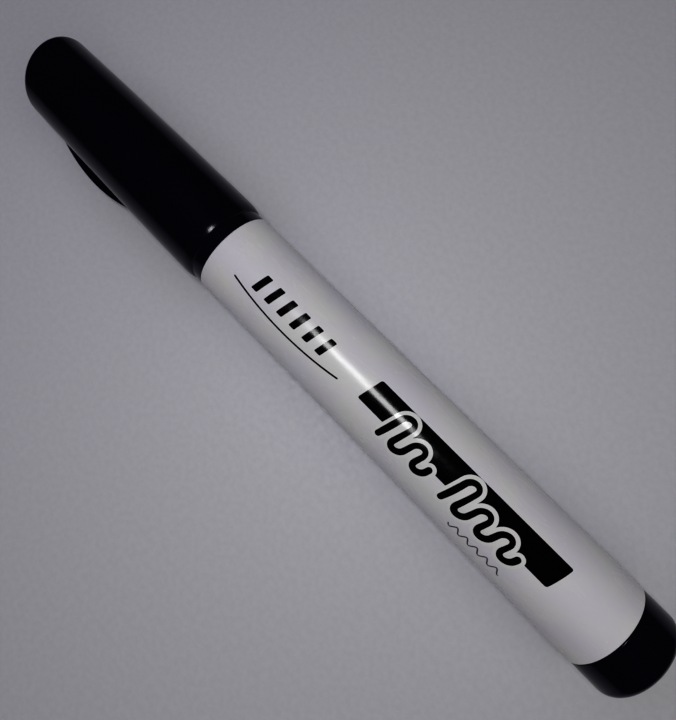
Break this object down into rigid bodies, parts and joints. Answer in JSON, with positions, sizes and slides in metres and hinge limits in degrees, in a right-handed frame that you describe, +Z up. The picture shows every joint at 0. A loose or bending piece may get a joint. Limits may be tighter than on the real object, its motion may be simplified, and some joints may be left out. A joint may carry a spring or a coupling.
{
  "type": "whiteboard marker",
  "caption": "Round whiteboard marker lying down, with a pull-off black cap that has a slanted end and a fin, a white barrel and a flat rear plug.",
  "frame": {"origin": "on the surface the marker lies on, under the middle of its outline", "axes": "+X along the marker from the rear plug to the cap's closed end, +Z up, the fin on the +Y side"},
  "size_m": [0.1442, 0.0182, 0.0169],
  "materials": {
    "barrel": "smooth white moulding",
    "rear_plug": "smooth black moulding",
    "nib_holder": "satin white moulding",
    "nib": "ink-stained pressed fibre",
    "reservoir_fibre": "ink-soaked fibre wad",
    "reservoir_film": "thin clear film",
    "cap_shell": "glossy black moulding",
    "cap_inner_seal": "soft satin moulding"
  },
  "bodies": {
    "marker": {"barrel": "barrel", "rear_plug": "rear_plug", "nib_holder": "nib_holder", "nib": "nib", "reservoir_fibre": "reservoir_fibre", "reservoir_film": "reservoir_film"},
    "seal": {"cap_inner_seal": "cap_inner_seal"},
    "cap": {"cap_shell": "cap_shell"}
  },
  "joints": [
    {"name": "cap_pull", "type": "slide", "parent": "marker", "child": "seal", "axis": [1, 0, 0], "range_m": [0, 0.05]},
    {"name": "cap_turn", "type": "hinge", "parent": "seal", "child": "cap", "pos_m": [0.01865, -0.0007, 0.00844], "axis": [1, 0, 0], "continuous": true}
  ]
}
